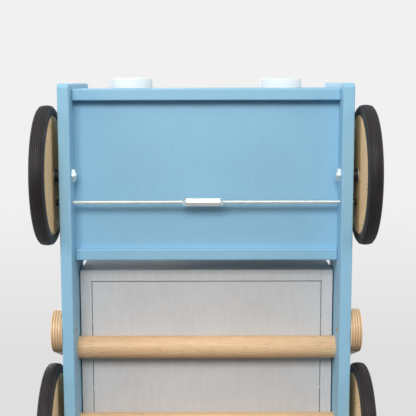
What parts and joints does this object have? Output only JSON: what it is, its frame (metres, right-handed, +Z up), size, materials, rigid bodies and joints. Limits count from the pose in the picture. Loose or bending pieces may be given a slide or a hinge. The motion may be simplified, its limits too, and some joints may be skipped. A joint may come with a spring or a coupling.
{
  "type": "baby walker",
  "caption": "Car-shaped wooden push walker for a baby: painted body, lift-out crate, rubber-tyred wheels, plywood handle arms and a threaded brake on the front wheels.",
  "frame": {"origin": "on the floor under the middle of the walker's overall box, between the four wheels", "axes": "+Z up; -Y forward, to the nose with the headlights; +X to the walker's left side, along the axles"},
  "size_m": [0.3532, 0.447, 0.4627],
  "materials": {
    "blue_painted_wood": "satin water-based paint on birch plywood, light blue",
    "grey_painted_wood": "satin paint, light grey",
    "white_painted_wood": "satin paint, white",
    "beech": "clear satin lacquer on beech",
    "wheel_wood": "clear satin lacquer on turned wood",
    "birch_plywood": "clear lacquer on birch plywood, glue lines on the edges",
    "tyre_rubber": "matt black rubber with fine ribs",
    "pad_rubber": "black rubber cap",
    "black_spacer": "satin black plastic sleeve",
    "nylon": "white nylon",
    "zinc_plated_steel": "bright zinc plate",
    "brass": "plain brass"
  },
  "bodies": {
    "chassis": {"arm_bolts": "zinc_plated_steel", "arm_inserts": "brass", "axle_bolt_front_left": "zinc_plated_steel", "axle_bolt_front_right": "zinc_plated_steel", "axle_bolt_rear_left": "zinc_plated_steel", "axle_bolt_rear_right": "zinc_plated_steel", "axle_nuts": "zinc_plated_steel", "axle_spacer_front_left": "black_spacer", "axle_spacer_front_right": "black_spacer", "axle_spacer_rear_left": "black_spacer", "axle_spacer_rear_right": "black_spacer", "axle_washers": "zinc_plated_steel", "board_screws": "zinc_plated_steel", "cab_board": "blue_painted_wood", "deck_panel": "blue_painted_wood", "dowel_screws": "zinc_plated_steel", "front_board": "blue_painted_wood", "front_support_dowel": "beech", "grip_dowel": "beech", "grip_screws": "zinc_plated_steel", "handle_arm_left": "birch_plywood", "handle_arm_right": "birch_plywood", "headlight_left": "white_painted_wood", "headlight_right": "white_painted_wood", "headlight_screws": "zinc_plated_steel", "hood_top": "blue_painted_wood", "rear_board": "blue_painted_wood", "rear_support_dowel": "beech", "side_panel_left": "blue_painted_wood", "side_panel_right": "blue_painted_wood"},
    "front_left_wheel": {"tyre_front_left": "tyre_rubber", "wheel_bush_front_left": "nylon", "wheel_disc_front_left": "wheel_wood"},
    "front_right_wheel": {"tyre_front_right": "tyre_rubber", "wheel_bush_front_right": "nylon", "wheel_disc_front_right": "wheel_wood"},
    "rear_left_wheel": {"tyre_rear_left": "tyre_rubber", "wheel_bush_rear_left": "nylon", "wheel_disc_rear_left": "wheel_wood"},
    "rear_right_wheel": {"tyre_rear_right": "tyre_rubber", "wheel_bush_rear_right": "nylon", "wheel_disc_rear_right": "wheel_wood"},
    "crate": {"crate_back": "grey_painted_wood", "crate_bottom": "grey_painted_wood", "crate_front": "grey_painted_wood", "crate_screws": "zinc_plated_steel", "crate_side_left": "grey_painted_wood", "crate_side_right": "grey_painted_wood"},
    "brake_coupling": {"brake_coupling": "zinc_plated_steel", "brake_jam_nut_left": "zinc_plated_steel", "brake_jam_nut_right": "zinc_plated_steel"},
    "brake_rod_left": {"brake_pad_left": "pad_rubber", "brake_rod_left": "zinc_plated_steel"},
    "brake_rod_right": {"brake_pad_right": "pad_rubber", "brake_rod_right": "zinc_plated_steel"}
  },
  "joints": [
    {"name": "front_left_wheel_spin", "type": "hinge", "parent": "chassis", "child": "front_left_wheel", "pos_m": [0.1635, -0.123, 0.072], "axis": [1, 0, 0], "continuous": true},
    {"name": "front_right_wheel_spin", "type": "hinge", "parent": "chassis", "child": "front_right_wheel", "pos_m": [-0.1635, -0.123, 0.072], "axis": [1, 0, 0], "continuous": true},
    {"name": "rear_left_wheel_spin", "type": "hinge", "parent": "chassis", "child": "rear_left_wheel", "pos_m": [0.1635, 0.1515, 0.072], "axis": [1, 0, 0], "continuous": true},
    {"name": "rear_right_wheel_spin", "type": "hinge", "parent": "chassis", "child": "rear_right_wheel", "pos_m": [-0.1635, 0.1515, 0.072], "axis": [1, 0, 0], "continuous": true},
    {"name": "crate_lift", "type": "slide", "parent": "chassis", "child": "crate", "axis": [0, 0, 1], "range_m": [0, 0.13]},
    {"name": "brake_turn", "type": "hinge", "parent": "chassis", "child": "brake_coupling", "pos_m": [-0.0034, -0.095, 0.072], "axis": [1, 0, 0], "range_deg": [-720, 360]},
    {"name": "brake_rod_left_travel", "type": "slide", "parent": "chassis", "child": "brake_rod_left", "axis": [1, 0, 0], "range_m": [-0.00165, 0.00085]},
    {"name": "brake_rod_right_travel", "type": "slide", "parent": "chassis", "child": "brake_rod_right", "axis": [-1, 0, 0], "range_m": [-0.00165, 0.00085]}
  ],
  "couplings": [
    {"joint": "brake_rod_left_travel", "follows": "brake_turn", "m_per_rad": 0.00012732},
    {"joint": "brake_rod_right_travel", "follows": "brake_turn", "m_per_rad": 0.00012732}
  ]
}
